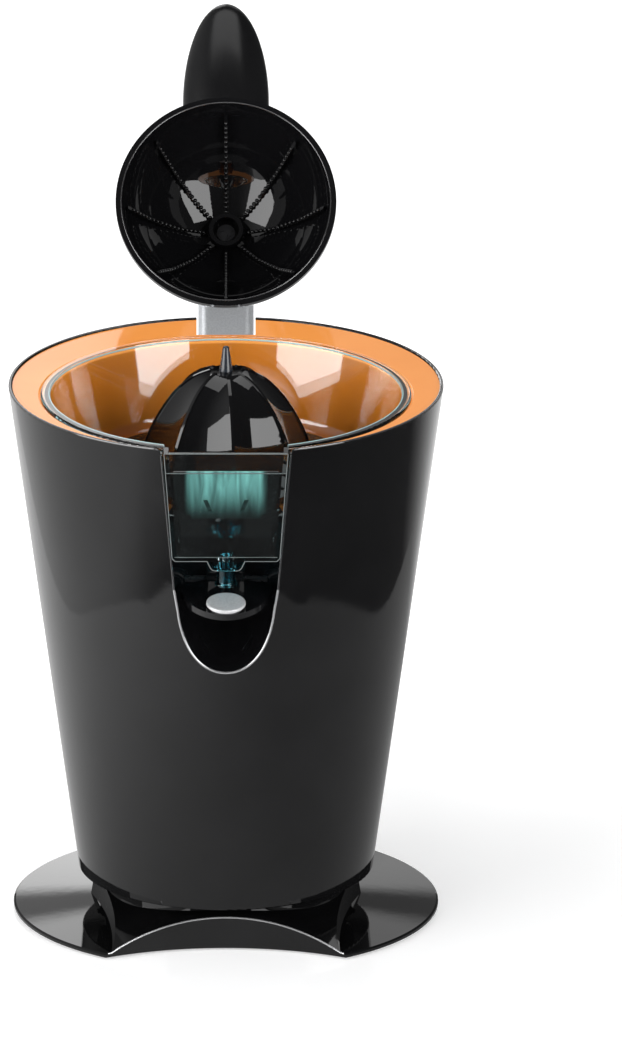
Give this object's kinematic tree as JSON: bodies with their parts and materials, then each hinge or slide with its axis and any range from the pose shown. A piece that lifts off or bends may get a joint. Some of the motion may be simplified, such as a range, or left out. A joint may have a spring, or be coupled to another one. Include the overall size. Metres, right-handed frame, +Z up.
{
  "type": "citrus press juicer",
  "caption": "Electric citrus press with a conical shell, clear juice bowl with a spout and drip stop, ribbed reamer and a hinged lever arm with a press cup.",
  "frame": {"origin": "on the worktop, on the axis of the conical shell", "axes": "+Z up; -Y is the front, where the spout is; +Y is the side of the arm's hinge and the cord inlet"},
  "size_m": [0.1998, 0.377, 0.3495],
  "materials": {
    "shell_black": "high gloss moulded",
    "seat_orange": "gloss",
    "niche_black": "mirror gloss",
    "inner_plastic": "fine moulded texture",
    "steel": "turned",
    "rubber_black": "matte",
    "motor_steel": "plated",
    "motor_iron": "laminated",
    "bronze": "sintered",
    "gear_nylon": "moulded",
    "button_red": "gloss",
    "bowl_clear": "clear, polished",
    "nozzle_clear": "clear, blue-green tint",
    "reamer_black": "high gloss",
    "screw_black": "blackened",
    "apron_black": "gloss, lit by the clear window",
    "point_black": "satin gloss",
    "pad_silver": "matte silver",
    "arm_silver": "satin",
    "handle_black": "satin",
    "cup_black": "high gloss"
  },
  "bodies": {
    "housing": {"outer_shell": "shell_black", "bowl_seat": "seat_orange", "spout_niche": "niche_black", "arm_bracket": "inner_plastic", "hinge_pin": "steel", "lever_pin": "screw_black", "foot_plate": "shell_black", "base_cover": "inner_plastic", "base_screws": "steel", "leg_screws": "steel", "rubber_feet": "rubber_black", "non_slip_ring": "rubber_black", "cable_gland": "inner_plastic", "gearbox_base": "inner_plastic", "gearbox_cover": "inner_plastic", "gearbox_screws": "steel", "gear_axle": "steel", "motor_can": "motor_steel", "motor_end_cap": "inner_plastic", "motor_stator": "motor_iron", "spindle_bush": "bronze", "shaft_seal": "rubber_black", "micro_switch": "inner_plastic", "spindle_spring": "steel"},
    "arm": {"arm_beam": "arm_silver", "arm_handle": "handle_black", "press_cup": "cup_black", "cup_screw": "screw_black"},
    "bowl": {"juice_bowl": "bowl_clear", "spout_nozzle": "nozzle_clear", "valve_insert": "nozzle_clear"},
    "strainer": {"strainer": "reamer_black", "strainer_apron": "apron_black"},
    "reamer_carrier": {"thrust_washer": "gear_nylon"},
    "reamer": {"reamer_cone": "reamer_black", "reamer_point": "point_black", "drive_socket": "gear_nylon"},
    "plunger": {"switch_plate": "inner_plastic"},
    "spindle": {"drive_spindle": "steel"},
    "button": {"switch_button": "button_red"},
    "rotor": {"rotor_core": "motor_iron", "rotor_shaft": "steel", "pinion": "gear_nylon"},
    "compound": {"compound_gear": "gear_nylon"},
    "output": {"output_gear": "gear_nylon"},
    "drip_stop": {"drip_lever": "niche_black", "drip_pad": "pad_silver"}
  },
  "joints": [
    {"name": "arm_hinge", "type": "hinge", "parent": "housing", "child": "arm", "pos_m": [0, 0.0845, 0.2232], "axis": [-1, 0, 0], "range_deg": [-127.4, 0]},
    {"name": "bowl_lift", "type": "slide", "parent": "housing", "child": "bowl", "axis": [0, 0, 1], "range_m": [0, 0.1]},
    {"name": "strainer_lift", "type": "slide", "parent": "bowl", "child": "strainer", "axis": [0, 0, 1], "range_m": [0, 0.06]},
    {"name": "reamer_press", "type": "slide", "parent": "strainer", "child": "reamer_carrier", "axis": [0, 0, 1], "range_m": [-0.003, 0], "stiffness_N_per_m": 900, "springref_m": 0.0025},
    {"name": "reamer_spin", "type": "hinge", "parent": "reamer_carrier", "child": "reamer", "pos_m": [0, -0.0125, 0.24], "axis": [0, 0, 1], "continuous": true},
    {"name": "plunger_slide", "type": "slide", "parent": "housing", "child": "plunger", "axis": [0, 0, 1], "range_m": [-0.003, 0], "deforming": ["spindle_spring"]},
    {"name": "spindle_spin", "type": "hinge", "parent": "plunger", "child": "spindle", "pos_m": [0, -0.0125, 0.15], "axis": [0, 0, 1], "continuous": true},
    {"name": "button_slide", "type": "slide", "parent": "housing", "child": "button", "axis": [0, 0, 1], "range_m": [-0.003, 0]},
    {"name": "rotor_spin", "type": "hinge", "parent": "housing", "child": "rotor", "pos_m": [0, 0.03, 0.07], "axis": [0, 0, 1], "continuous": true},
    {"name": "compound_spin", "type": "hinge", "parent": "housing", "child": "compound", "pos_m": [0.02204, 0.00965, 0.11], "axis": [0, 0, 1], "continuous": true},
    {"name": "output_spin", "type": "hinge", "parent": "housing", "child": "output", "pos_m": [0, -0.0125, 0.115], "axis": [0, 0, 1], "continuous": true},
    {"name": "drip_lever_hinge", "type": "hinge", "parent": "housing", "child": "drip_stop", "pos_m": [0, -0.062, 0.179], "axis": [-1, 0, 0], "range_deg": [0, 9.5]}
  ],
  "couplings": [
    {"joint": "reamer_spin", "follows": "rotor_spin", "ratio": 0.10526},
    {"joint": "spindle_spin", "follows": "rotor_spin", "ratio": 0.10526},
    {"joint": "output_spin", "follows": "rotor_spin", "ratio": 0.10526},
    {"joint": "compound_spin", "follows": "rotor_spin", "ratio": -0.33333},
    {"joint": "plunger_slide", "follows": "reamer_press", "ratio": 1},
    {"joint": "button_slide", "follows": "reamer_press", "ratio": 1}
  ]
}
